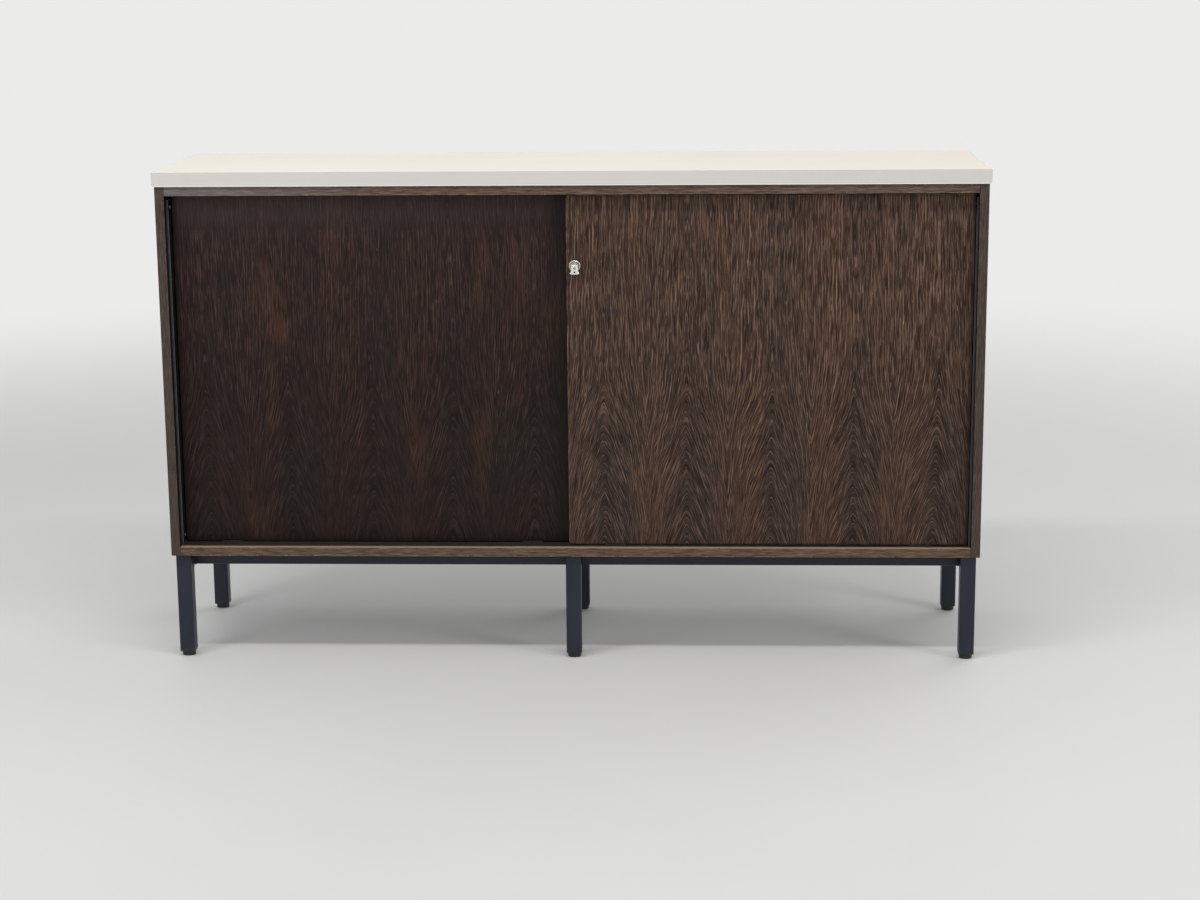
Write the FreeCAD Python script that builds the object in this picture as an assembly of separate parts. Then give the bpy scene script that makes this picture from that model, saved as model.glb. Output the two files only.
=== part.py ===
"""Office sideboard with two sliding doors on a six-legged steel base.

Millimetres, +Z up. The origin is on the floor under the middle of the top, the front faces -Y.
"""
import FreeCAD, Part
import os

Vector = FreeCAD.Vector

# Boards of the carcass and the white top
carcass_width = 1592.0
carcass_depth = 392.0
carcass_height = 730.0
board = 18.0
top_thickness = 28.0
top_overhang = 4.0
back_thickness = 8.0
back_rebate = 9.0
edge_arris = 0.8
top_arris = 1.2

# Steel base
floor_to_carcass = 210.0
tube = 30.0
tube_wall = 2.0
tube_corner = 2.5
leg_side_inset = 6.0
leg_front_inset = 10.0
leg_rear_inset = 8.0
rail_behind_leg = 10.0
foot_disc_height = 10.0
foot_disc = 26.0
foot_disc_arris = 1.5
foot_flange = 4.0
foot_plug = 18.0
plug_clearance = 0.2

# Sliding doors, tracks and stop strips
door_setback = 20.0
door_thickness = 18.0
door_spacing = 6.0
door_overlap = 15.0
door_side_gap = 2.0
door_bottom_gap = 2.0
door_top_gap = 3.0
strip_thickness = 3.0
strip_arris = 0.8
strip_lift = 1.0
strip_top_gap = 10.0
strip_screw_end = 15.0
strip_screw_from_front = 17.0
groove_width = 5.0
bottom_groove = 5.0
bottom_track_height = 8.0
top_groove = 11.0
top_track_height = 13.0
glide_play = 0.2
glide_length = 40.0
glide_block = 10.0
glide_block_height = 14.0
glide_from_edge = 90.0
guide_reach = 5.0

# Lock, folding key and strike peg
lock_from_edge = 16.0
lock_below_door_top = 136.0
rosette = 22.0
rosette_thickness = 2.5
rosette_arris = 1.0
lock_barrel = 16.0
lock_nut = 21.0
lock_nut_thickness = 4.0
plug_bore = 10.0
plug_running_fit = 0.05
plug_recess = 0.4
keyway_width = 1.8
keyway_height = 7.0
blade_clearance = 0.1
blade_length = 14.0
cam_gap = 0.5
cam_thickness = 2.5
cam_length = 22.0
cam_width = 9.0
cam_tail = 5.0
cam_screw = 3.0
cam_screw_length = 8.0
cam_screw_head = 7.0
cam_screw_head_height = 1.4
key_collar = 9.0
key_collar_length = 1.6
key_seat_gap = 0.2
hinge_from_collar = 4.5
key_tongue_width = 4.0
key_tongue_height = 6.0
hinge_pin = 2.0
hinge_fit = 0.05
bow_thickness = 4.0
bow_rise = 3.5
bow_drop = 16.0
bow_top_width = 14.0
bow_foot_width = 19.6
bow_flare_start = 8.0
bow_foot_sag = 1.6
bow_cheek_gap = 0.2
bow_slot_drop = 6.0
bow_ring_hole = 3.5
bow_ring_hole_drop = 11.5
peg = 4.0
peg_head_gap = 2.0
peg_depth = 10.0
peg_beside_cam = 1.0
peg_from_cam_end = 3.0

# Partition, shelves and small fittings
partition_behind_doors = 12.0
shelf_behind_partition_front = 4.0
shelf_side_gap = 1.0
shelf_back_gap = 2.0
shelf_above_floor = 340.0
pin = 5.0
pin_in_board = 8.0
pin_tab_length = 8.0
pin_tab_height = 4.0
pin_hole_spare = 1.0
pin_pitch = 32.0
pin_holes_each_way = 2
pin_from_shelf_edge = 45.0
dowel = 8.0
dowel_in_side = 12.0
dowel_in_panel = 18.0
dowel_in_partition = 14.0
dowel_in_face = 10.0
dowel_from_front = 90.0
dowel_from_back = 44.0
partition_dowel_from_front = 66.0
partition_dowel_from_back = 54.0
slab_screw = 4.0
slab_screw_head = 8.0
slab_screw_length = 36.0
slab_screw_from_partition = 251.0
slab_screw_from_side = 88.0
slab_screw_from_front = 110.0
slab_screw_from_rear = 62.0
back_screw = 3.0
back_screw_head = 6.0
back_screw_length = 24.0
back_screw_columns = 5
back_screw_from_end = 60.0
frame_screw = 5.0
frame_screw_head = 9.0
frame_screw_head_height = 3.0
frame_screw_bite = 13.0
frame_screw_access = 12.0
frame_screw_wall_gap = 1.0
frame_screw_from_front_leg = 80.0
frame_screw_from_rear_leg = 64.0
strip_screw = 3.5
strip_screw_head = 7.0
strip_screw_length = 15.0

# Planes that several pieces share
front = -carcass_depth / 2
rear = carcass_depth / 2
side_outer = carcass_width / 2
side_inner = side_outer - board
carcass_low = floor_to_carcass
carcass_high = floor_to_carcass + carcass_height
inner_low = carcass_low + board
inner_high = carcass_high - board
back_front = rear - back_thickness
panel_mid_low = carcass_low + board / 2
panel_mid_high = carcass_high - board / 2
strip_inner = side_inner - strip_thickness
strip_low = inner_low + strip_lift
strip_high = inner_high - strip_top_gap
bottom_track_low = inner_low - bottom_track_height
top_track_high = inner_high + top_track_height

front_door_face = front + door_setback
front_door_back = front_door_face + door_thickness
rear_door_face = front_door_back + door_spacing
rear_door_back = rear_door_face + door_thickness
door_low = inner_low + door_bottom_gap
door_high = inner_high - door_top_gap
door_outer = strip_inner - door_side_gap
door_inner = door_overlap / 2
door_travel = 2 * strip_inner - (door_outer + door_inner) - 2 * door_side_gap

leg_outer = side_outer - leg_side_inset
leg_front = front + leg_front_inset
leg_rear = rear - leg_rear_inset
leg_low = foot_disc_height + foot_flange
rail_low = carcass_low - tube

partition_front = rear_door_back + partition_behind_doors
shelf_front = partition_front + shelf_behind_partition_front
shelf_rear = back_front - shelf_back_gap
shelf_low = inner_low + shelf_above_floor

lock_x = -door_inner + lock_from_edge
lock_z = door_high - lock_below_door_top
plug_front = front_door_face - rosette_thickness + plug_recess
cam_front = front_door_back + cam_gap
cam_back = cam_front + cam_thickness
collar_back = plug_front - key_seat_gap
collar_front = collar_back - key_collar_length
hinge_y = collar_front - hinge_from_collar

AXES = {"x": Vector(1, 0, 0), "y": Vector(0, 1, 0), "z": Vector(0, 0, 1)}


def block(x0, x1, y0, y1, z0, z1):
    """Box between two corners, given in any order."""
    low = Vector(min(x0, x1), min(y0, y1), min(z0, z1))
    return Part.makeBox(abs(x1 - x0), abs(y1 - y0), abs(z1 - z0), low)


def rod(start, axis, length, diameter):
    """Round bar from a start point along an axis name; a negative length runs backwards."""
    direction = AXES[axis] * (1 if length > 0 else -1)
    return Part.makeCylinder(diameter / 2, abs(length), Vector(*start), direction)


def joined(shapes):
    """One clean solid made of touching or overlapping shapes."""
    return shapes[0].fuse(shapes[1:]).removeSplitter()


def carved(shape, cutters):
    """The shape with every cutter taken out of it."""
    return shape.cut(list(cutters))


def rounded(shape, radius, wanted):
    """The shape with its wanted edges rounded; wanted is a test on an edge's bounding box."""
    edges = [edge for edge in shape.Edges if wanted(edge.BoundBox)]
    return shape.makeFillet(radius, edges)


def on_plane(axis, value):
    """A test for edges that lie in the plane where that axis has that value."""
    def test(bounds):
        low = getattr(bounds, axis.upper() + "Min")
        high = getattr(bounds, axis.upper() + "Max")
        return abs(low - value) < 0.01 and abs(high - value) < 0.01
    return test


def along(axis):
    """A test for edges that run along an axis."""
    def test(bounds):
        spans = {"x": bounds.XLength, "y": bounds.YLength, "z": bounds.ZLength}
        return spans[axis] > 0.01 and sum(spans.values()) - spans[axis] < 0.01
    return test


def front_edges(axis, y):
    """A test for edges along an axis in the plane of a board's front edge."""
    in_front = on_plane("y", y)
    runs = along(axis)
    return lambda bounds: in_front(bounds) and runs(bounds)


def countersunk(head, axis, sign, shank, head_width, length):
    """Countersunk screw whose flat head lies at the head point; it runs along sign times the axis."""
    direction = AXES[axis] * sign
    point = Vector(*head)
    cone_height = (head_width - shank) / 2
    cone = Part.makeCone(head_width / 2, shank / 2, cone_height, point, direction)
    body = Part.makeCylinder(shank / 2, length - cone_height, point + direction * cone_height, direction)
    return joined([cone, body])


def square_tube(x0, x1, y0, y1, z0, z1, axis):
    """Steel tube with rounded corners that runs along one axis of its box."""
    outer = rounded(block(x0, x1, y0, y1, z0, z1), tube_corner, along(axis))
    inset = {name: (0 if name == axis else tube_wall) for name in "xyz"}
    bore = block(x0 + inset["x"], x1 - inset["x"], y0 + inset["y"], y1 - inset["y"],
                 z0 + inset["z"], z1 - inset["z"])
    return outer.cut(bore)


def write(name, shapes):
    """Write one node: a single solid, or a group of like solids."""
    shape = shapes[0] if len(shapes) == 1 else Part.makeCompound(shapes)
    shape.exportStep(os.path.join("parts", name + ".step"))


# Fasteners and pegs come first: each one also cuts its own seat in the boards that hold it.
def corner_dowels():
    """Dowels that hold the top and bottom panels between the sides."""
    first = front + dowel_from_front
    last = back_front - dowel_from_back
    dowels = []
    for sign in (-1, 1):
        for z in (panel_mid_low, panel_mid_high):
            for y in (first, (first + last) / 2, last):
                start = (sign * (side_inner - dowel_in_panel), y, z)
                dowels.append(rod(start, "x", sign * (dowel_in_panel + dowel_in_side), dowel))
    return dowels


def partition_dowels():
    """Upright dowels that hold the partition between the top and bottom panels."""
    length = dowel_in_face + dowel_in_partition
    dowels = []
    for y in (partition_front + partition_dowel_from_front, back_front - partition_dowel_from_back):
        dowels.append(rod((0, y, inner_low - dowel_in_face), "z", length, dowel))
        dowels.append(rod((0, y, inner_high + dowel_in_face), "z", -length, dowel))
    return dowels


def slab_screws():
    """Screws from inside the carcass up through its top panel into the white top."""
    screws = []
    for sign in (-1, 1):
        for x in (board / 2 + slab_screw_from_partition, side_inner - slab_screw_from_side):
            for y in (front + slab_screw_from_front, rear - slab_screw_from_rear):
                head = (sign * x, y, inner_high)
                screws.append(countersunk(head, "z", 1, slab_screw, slab_screw_head, slab_screw_length))
    return screws


def back_screws():
    """Screws that hold the back on the rear edges of the panels and the partition."""
    reach = side_inner - back_screw_from_end
    heads = []
    for z in (panel_mid_low, panel_mid_high):
        for column in range(back_screw_columns):
            heads.append((reach * (2 * column / (back_screw_columns - 1) - 1), z))
    for part in (1, 2):
        heads.append((0, inner_low + part * (inner_high - inner_low) / 3))
    return [countersunk((x, rear, z), "y", -1, back_screw, back_screw_head, back_screw_length)
            for x, z in heads]


def strip_screws():
    """Two countersunk screws in each stop strip."""
    screws = []
    for sign in (-1, 1):
        for z in (strip_low + strip_screw_end, strip_high - strip_screw_end):
            head = (sign * strip_inner, front_door_face + strip_screw_from_front, z)
            screws.append(countersunk(head, "x", sign, strip_screw, strip_screw_head, strip_screw_length))
    return screws


def frame_screw_places():
    """Where the base is screwed to the bottom panel: two places on each cross rail."""
    shift = tube / 2 - tube_wall - frame_screw_head / 2 - frame_screw_wall_gap
    rail_mid = leg_outer - tube / 2
    columns = (-(rail_mid - shift), shift, rail_mid - shift)
    rows = (leg_front + tube + frame_screw_from_front_leg, leg_rear - tube - frame_screw_from_rear_leg)
    return [(x, y) for x in columns for y in rows]


def frame_screws():
    """Screws whose heads sit inside the cross rails and bite into the bottom panel."""
    screws = []
    for x, y in frame_screw_places():
        head_low = carcass_low - tube_wall - frame_screw_head_height
        head = rod((x, y, head_low), "z", frame_screw_head_height, frame_screw_head)
        shank = rod((x, y, carcass_low - tube_wall), "z", tube_wall + frame_screw_bite, frame_screw)
        screws.append(joined([head, shank]))
    return screws


def pin_columns():
    """Where shelf pins stand: the X of the board face, the way it faces, and the Y of the column."""
    depths = (shelf_front + pin_from_shelf_edge, shelf_rear - pin_from_shelf_edge)
    faces = ((-side_inner, 1), (-board / 2, -1), (board / 2, 1), (side_inner, -1))
    return [(x, way, y) for x, way in faces for y in depths]


def shelf_pins():
    """Pins in the sides and the partition, each with a flat tab under the shelf."""
    pins = []
    for x, way, y in pin_columns():
        stem = rod((x - way * pin_in_board, y, shelf_low - pin / 2), "x", way * pin_in_board, pin)
        tab = block(x, x + way * pin_tab_length, y - pin / 2, y + pin / 2,
                    shelf_low - pin_tab_height, shelf_low)
        pins.append(joined([stem, tab]))
    return pins


def pin_holes():
    """Rows of holes that let the shelves be moved up or down."""
    holes = []
    for x, way, y in pin_columns():
        for step in range(-pin_holes_each_way, pin_holes_each_way + 1):
            z = shelf_low - pin / 2 + step * pin_pitch
            depth = pin_in_board if step == 0 else pin_in_board - pin_hole_spare
            holes.append(rod((x, y, z), "x", -way * depth, pin))
    return holes


# Carcass
def side_panel(sign):
    """One side, full height, rebated at the rear for the back."""
    panel = block(sign * side_inner, sign * side_outer, front, rear, carcass_low, carcass_high)
    panel = rounded(panel, edge_arris, on_plane("y", front))
    rebate = block(sign * side_inner, sign * (side_inner + back_rebate), back_front, rear,
                   carcass_low, carcass_high)
    return carved(panel, [rebate] + corner_dowels() + pin_holes() + strip_screws())


def flat_panel(low, track_low, track_high, fasteners):
    """Top or bottom panel between the sides, with its track let in."""
    panel = block(-side_inner, side_inner, front, back_front, low, low + board)
    panel = rounded(panel, edge_arris, front_edges("x", front))
    rebate = block(-side_inner, side_inner, front_door_face, rear_door_back, track_low, track_high)
    return carved(panel, [rebate] + fasteners)


def back_panel():
    """Thin back let into the sides and screwed over the panels."""
    reach = side_inner + back_rebate
    panel = block(-reach, reach, back_front, rear, carcass_low, carcass_high)
    return carved(panel, back_screws())


def partition():
    """Upright board in the middle, behind the doors."""
    panel = block(-board / 2, board / 2, partition_front, back_front, inner_low, inner_high)
    panel = rounded(panel, edge_arris, front_edges("z", partition_front))
    return carved(panel, partition_dowels() + pin_holes() + back_screws())


def shelf(sign):
    """Loose shelf on four pins."""
    panel = block(sign * (board / 2 + shelf_side_gap), sign * (side_inner - shelf_side_gap),
                  shelf_front, shelf_rear, shelf_low, shelf_low + board)
    return rounded(panel, edge_arris, front_edges("x", shelf_front))


def top_slab():
    """White laminated top that overhangs the carcass all round."""
    low = carcass_high
    high = carcass_high + top_thickness
    slab = block(-side_outer - top_overhang, side_outer + top_overhang,
                 front - top_overhang, rear + top_overhang, low, high)
    slab = rounded(slab, top_arris, lambda bounds: on_plane("z", high)(bounds) or along("z")(bounds))
    return carved(slab, slab_screws())


def track(low, high, groove_low, groove_high):
    """Two-groove plastic track between the sides."""
    strip = block(-side_inner, side_inner, front_door_face, rear_door_back, low, high)
    grooves = []
    for face in (front_door_face, rear_door_face):
        middle = face + door_thickness / 2
        grooves.append(block(-side_inner, side_inner, middle - groove_width / 2, middle + groove_width / 2,
                             groove_low, groove_high))
    return carved(strip, grooves)


def stop_strip(sign):
    """Painted steel strip on a side, against which a door closes."""
    strip = block(sign * strip_inner, sign * side_inner, front_door_face, rear_door_back,
                  strip_low, strip_high)
    lip = on_plane("x", sign * strip_inner)
    front_face = on_plane("y", front_door_face)
    strip = rounded(strip, strip_arris, lambda bounds: lip(bounds) and front_face(bounds))
    return carved(strip, strip_screws())


# Doors
def door_ends(sign):
    """The outer and inner X of a door: sign -1 is the left, rear door and 1 the right, front door."""
    return sign * door_outer, -sign * door_inner


def door_face(sign):
    """The Y of a door's face."""
    return front_door_face if sign > 0 else rear_door_face


def runner_columns(sign):
    """The X of the two glides, and of the two guides above them."""
    outer, inner = door_ends(sign)
    return outer - sign * glide_from_edge, inner + sign * glide_from_edge


def runners(sign, door_edge, way, tip):
    """Plastic runners let into a door's lower or upper edge, each with a fin in the track's groove."""
    middle = door_face(sign) + door_thickness / 2
    fin_half = groove_width / 2 - glide_play
    shapes = []
    for x in runner_columns(sign):
        start = x - glide_length / 2
        end = x + glide_length / 2
        body = block(start, end, middle - glide_block / 2, middle + glide_block / 2,
                     door_edge, door_edge - way * glide_block_height)
        fin = block(start, end, middle - fin_half, middle + fin_half, door_edge, tip)
        shapes.append(joined([body, fin]))
    return shapes


def glides(sign):
    """Runners that carry a door on the bottom track."""
    return runners(sign, door_low, -1, inner_low - bottom_groove + glide_play)


def guides(sign):
    """Runners that keep a door upright in the top track."""
    return runners(sign, door_high, 1, inner_high + guide_reach)


def door(sign, cutters):
    """One veneered door."""
    outer, inner = door_ends(sign)
    face = door_face(sign)
    panel = block(outer, inner, face, face + door_thickness, door_low, door_high)
    panel = rounded(panel, edge_arris, on_plane("y", face))
    return carved(panel, glides(sign) + guides(sign) + cutters)


def strike_peg():
    """Peg on the rear door that the turned cam stands beside."""
    x = lock_x - cam_width / 2 - peg_beside_cam - peg / 2
    z = lock_z + cam_length - peg_from_cam_end - peg / 2
    start = rear_door_face - door_spacing + peg_head_gap
    return rod((x, start, z), "y", rear_door_face + peg_depth - start, peg)


# Lock and key
def at_lock(y):
    """The point of the lock's axis at a given Y."""
    return (lock_x, y, lock_z)


def barrel_bore():
    """Hole in the right door for the lock, with room for its nut."""
    barrel = rod(at_lock(front_door_face), "y", door_thickness, lock_barrel)
    seat = rod(at_lock(front_door_back), "y", -lock_nut_thickness, lock_nut)
    return joined([barrel, seat])


def lock_housing():
    """Barrel with a round rosette in front."""
    rosette_front = front_door_face - rosette_thickness
    collar = rod(at_lock(rosette_front), "y", rosette_thickness, rosette)
    collar = rounded(collar, rosette_arris, on_plane("y", rosette_front))
    barrel = rod(at_lock(front_door_face), "y", door_thickness, lock_barrel)
    bore = rod(at_lock(rosette_front), "y", rosette_thickness + door_thickness, plug_bore)
    return joined([collar, barrel]).cut(bore)


def lock_ring_nut():
    """Round nut let into the back of the right door."""
    nut = rod(at_lock(front_door_back), "y", -lock_nut_thickness, lock_nut)
    return nut.cut(rod(at_lock(front_door_back), "y", -lock_nut_thickness, lock_barrel))


def cam_screw_body():
    """Screw that holds the cam on the plug's tail."""
    head = rod(at_lock(cam_back), "y", cam_screw_head_height, cam_screw_head)
    shank = rod(at_lock(cam_back), "y", -cam_screw_length, cam_screw)
    return joined([head, shank])


def tail_square():
    """Square tail that turns the cam."""
    half = cam_tail / 2
    return block(lock_x - half, lock_x + half, cam_front, cam_back, lock_z - half, lock_z + half)


def lock_plug():
    """Turning core of the lock, with its keyway and its square tail."""
    core = rod(at_lock(plug_front), "y", cam_front - plug_front, plug_bore - 2 * plug_running_fit)
    keyway = block(lock_x - keyway_width / 2, lock_x + keyway_width / 2, plug_front,
                   plug_front + blade_length + blade_clearance,
                   lock_z - keyway_height / 2, lock_z + keyway_height / 2)
    return carved(joined([core, tail_square()]), [keyway, cam_screw_body()])


def lock_cam():
    """Flat cam behind the right door; it points to the right when the lock is open."""
    half = cam_width / 2
    hub = rod(at_lock(cam_front), "y", cam_thickness, cam_width)
    tip_middle = lock_x + cam_length - half
    arm = block(lock_x, tip_middle, cam_front, cam_back, lock_z - half, lock_z + half)
    tip = rod((tip_middle, cam_front, lock_z), "y", cam_thickness, cam_width)
    return carved(joined([hub, arm, tip]), [tail_square()])


def key_shank():
    """Key blade with its collar and the tongue that the bow folds on."""
    half = keyway_width / 2 - blade_clearance
    half_height = keyway_height / 2 - blade_clearance
    blade = block(lock_x - half, lock_x + half, collar_back, plug_front + blade_length,
                  lock_z - half_height, lock_z + half_height)
    collar = rod(at_lock(collar_front), "y", key_collar_length, key_collar)
    tongue = block(lock_x - key_tongue_width / 2, lock_x + key_tongue_width / 2, hinge_y, collar_front,
                   lock_z - key_tongue_height / 2, lock_z + key_tongue_height / 2)
    nose = rod((lock_x - key_tongue_width / 2, hinge_y, lock_z), "x", key_tongue_width, key_tongue_height)
    return carved(joined([blade, collar, tongue, nose]), [key_pin()])


def key_pin():
    """Pin across the tongue and both cheeks of the bow."""
    return rod((lock_x - bow_top_width / 2 + bow_cheek_gap, hinge_y, lock_z), "x",
               bow_top_width - 2 * bow_cheek_gap, hinge_pin)


def key_bow():
    """Flared bow that hangs down from the key's hinge pin."""
    half_top = bow_top_width / 2
    half_foot = bow_foot_width / 2
    back = hinge_y + bow_thickness / 2
    high = lock_z + bow_rise - bow_thickness / 2
    flare = lock_z - bow_flare_start
    low = lock_z - bow_drop + bow_foot_sag
    corners = [Vector(lock_x + half_foot, back, low), Vector(lock_x + half_top, back, flare),
               Vector(lock_x + half_top, back, high), Vector(lock_x - half_top, back, high),
               Vector(lock_x - half_top, back, flare), Vector(lock_x - half_foot, back, low)]
    edges = [Part.LineSegment(a, b).toShape() for a, b in zip(corners, corners[1:])]
    foot = Vector(lock_x, back, lock_z - bow_drop)
    edges.append(Part.Arc(corners[-1], foot, corners[0]).toShape())
    plate = Part.Face(Part.Wire(edges)).extrude(Vector(0, -bow_thickness, 0))
    head = rod((lock_x - half_top, hinge_y, high), "x", bow_top_width, bow_thickness)
    slot_half = key_tongue_width / 2 + bow_cheek_gap
    slot = block(lock_x - slot_half, lock_x + slot_half, back, back - bow_thickness,
                 lock_z - bow_slot_drop, lock_z + bow_rise)
    pin_hole = rod((lock_x - half_top, hinge_y, lock_z), "x", bow_top_width, hinge_pin + 2 * hinge_fit)
    ring_hole = rod((lock_x, back, lock_z - bow_ring_hole_drop), "y", -bow_thickness, bow_ring_hole)
    return carved(joined([plate, head]), [slot, pin_hole, ring_hole])


# Steel base
def leg_place(column, row):
    """The X and Y of a leg's middle."""
    x = {"left": -1, "middle": 0, "right": 1}[column] * (leg_outer - tube / 2)
    y = leg_front + tube / 2 if row == "front" else leg_rear - tube / 2
    return x, y


def leg(column, row):
    """Upright square tube."""
    x, y = leg_place(column, row)
    half = tube / 2
    return square_tube(x - half, x + half, y - half, y + half, leg_low, carcass_low, "z")


def foot(column, row):
    """Plastic foot: a plug in the leg, a square flange and a round disc on the floor."""
    x, y = leg_place(column, row)
    half = tube / 2
    plug_half = half - tube_wall - plug_clearance
    disc = rounded(rod((x, y, 0), "z", foot_disc_height, foot_disc), foot_disc_arris, on_plane("z", 0))
    flange = block(x - half, x + half, y - half, y + half, foot_disc_height, leg_low)
    flange = rounded(flange, tube_corner, along("z"))
    plug = block(x - plug_half, x + plug_half, y - plug_half, y + plug_half, leg_low, leg_low + foot_plug)
    return joined([disc, flange, plug])


def cross_rail(column):
    """Tube between a front leg and the rear leg behind it, drilled for the screws."""
    x, _ = leg_place(column, "front")
    half = tube / 2
    rail = square_tube(x - half, x + half, leg_front + tube, leg_rear - tube, rail_low, carcass_low, "y")
    holes = []
    for hole_x, hole_y in frame_screw_places():
        holes.append(rod((hole_x, hole_y, carcass_low - tube_wall), "z", tube_wall, frame_screw))
        holes.append(rod((hole_x, hole_y, rail_low), "z", tube_wall, frame_screw_access))
    return carved(rail, holes)


def long_rail(sign, row):
    """Tube between the middle cross rail and an outer one, just inside the legs."""
    half = tube / 2
    if row == "front":
        y = leg_front + tube + rail_behind_leg
    else:
        y = leg_rear - tube - rail_behind_leg - tube
    outer = leg_outer - tube
    x0, x1 = (half, outer) if sign > 0 else (-outer, -half)
    return square_tube(x0, x1, y, y + tube, rail_low, carcass_low, "x")


os.makedirs("parts", exist_ok=True)

write("top_slab", [top_slab()])
write("left_side_panel", [side_panel(-1)])
write("right_side_panel", [side_panel(1)])
panel_fixings = corner_dowels() + partition_dowels() + back_screws()
write("carcass_top_panel", [flat_panel(inner_high, inner_high, top_track_high,
                                       panel_fixings + slab_screws())])
write("carcass_bottom_panel", [flat_panel(carcass_low, bottom_track_low, inner_low,
                                          panel_fixings + frame_screws())])
write("back_panel", [back_panel()])
write("centre_partition", [partition()])
write("left_shelf", [shelf(-1)])
write("right_shelf", [shelf(1)])
write("shelf_pins", shelf_pins())
write("corner_dowels", corner_dowels())
write("partition_dowels", partition_dowels())
write("top_slab_screws", slab_screws())
write("back_panel_screws", back_screws())

write("bottom_track", [track(bottom_track_low, inner_low, inner_low - bottom_groove, inner_low)])
write("top_track", [track(inner_high, top_track_high, inner_high, inner_high + top_groove)])
write("left_stop_strip", [stop_strip(-1)])
write("right_stop_strip", [stop_strip(1)])
write("stop_strip_screws", strip_screws())

write("left_door", [door(-1, [strike_peg()])])
write("right_door", [door(1, [barrel_bore()])])
for side, sign in (("left", -1), ("right", 1)):
    write(side + "_door_glides", glides(sign))
    write(side + "_door_guides", guides(sign))
write("strike_peg", [strike_peg()])

write("lock_housing", [lock_housing()])
write("lock_ring_nut", [lock_ring_nut()])
write("lock_plug", [lock_plug()])
write("lock_cam", [lock_cam()])
write("cam_screw", [cam_screw_body()])
write("key_shank", [key_shank()])
write("key_hinge_pin", [key_pin()])
write("key_bow", [key_bow()])

for column in ("left", "middle", "right"):
    write(column + "_cross_rail", [cross_rail(column)])
    for row in ("front", "rear"):
        write(row + "_" + column + "_leg", [leg(column, row)])
        write(row + "_" + column + "_foot", [foot(column, row)])
for row in ("front", "rear"):
    write(row + "_left_rail", [long_rail(-1, row)])
    write(row + "_right_rail", [long_rail(1, row)])
write("frame_screws", frame_screws())

print("door travel", door_travel)
print("lock axis", lock_x, lock_z, "key hinge", hinge_y)
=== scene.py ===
"""Looks of a long office sideboard: dark veneered doors, a pale laminate top and a painted steel base.

Every board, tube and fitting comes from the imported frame. The classes below give each sub-assembly its
finish and add the small shapes that the frame leaves plain. Sizes are metres.
"""
import logging
import math
from dataclasses import dataclass, field
from enum import Enum
from typing import Any, Optional, Union

import bmesh
import bpy
from mathutils import Matrix, Vector

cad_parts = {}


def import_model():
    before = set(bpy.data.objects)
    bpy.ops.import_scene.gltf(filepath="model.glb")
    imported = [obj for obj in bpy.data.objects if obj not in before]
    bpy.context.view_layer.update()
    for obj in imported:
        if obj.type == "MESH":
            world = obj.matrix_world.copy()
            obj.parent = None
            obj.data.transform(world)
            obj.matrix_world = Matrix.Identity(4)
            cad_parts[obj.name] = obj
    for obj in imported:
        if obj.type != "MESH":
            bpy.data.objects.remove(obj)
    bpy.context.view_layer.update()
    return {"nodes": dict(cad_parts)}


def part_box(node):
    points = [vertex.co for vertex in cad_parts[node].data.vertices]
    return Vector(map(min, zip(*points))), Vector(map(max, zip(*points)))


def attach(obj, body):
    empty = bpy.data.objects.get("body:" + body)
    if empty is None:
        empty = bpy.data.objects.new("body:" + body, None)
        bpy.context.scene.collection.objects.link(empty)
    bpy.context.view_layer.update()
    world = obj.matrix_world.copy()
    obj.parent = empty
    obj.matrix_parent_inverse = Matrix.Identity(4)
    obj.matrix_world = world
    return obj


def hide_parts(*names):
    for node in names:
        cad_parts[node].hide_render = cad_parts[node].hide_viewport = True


log = logging.getLogger("sideboard")

Colour = tuple[float, float, float]
Operand = Union["Value", float]
Look = tuple["Value", "Value", "Value"]
Box = tuple[Vector, Vector]

IMAGE_WIDTH = 1200
SENSOR_WIDTH = 36.0
SHARP_ANGLE = math.radians(38.0)
SAME_POINT = 1e-6
NOISE_ROUGHNESS = 0.55
SIDES = ("left", "right")


class Grain(Enum):
    """The way the grain of a board runs."""

    UPRIGHT = "upright"
    LENGTHWISE = "lengthwise"


class Facing(Enum):
    """The way a screw's head faces; inward is towards the middle of the width."""

    REAR = (0.0, 1.0, 0.0)
    DOWN = (0.0, 0.0, -1.0)
    INWARD = (-1.0, 0.0, 0.0)


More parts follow.
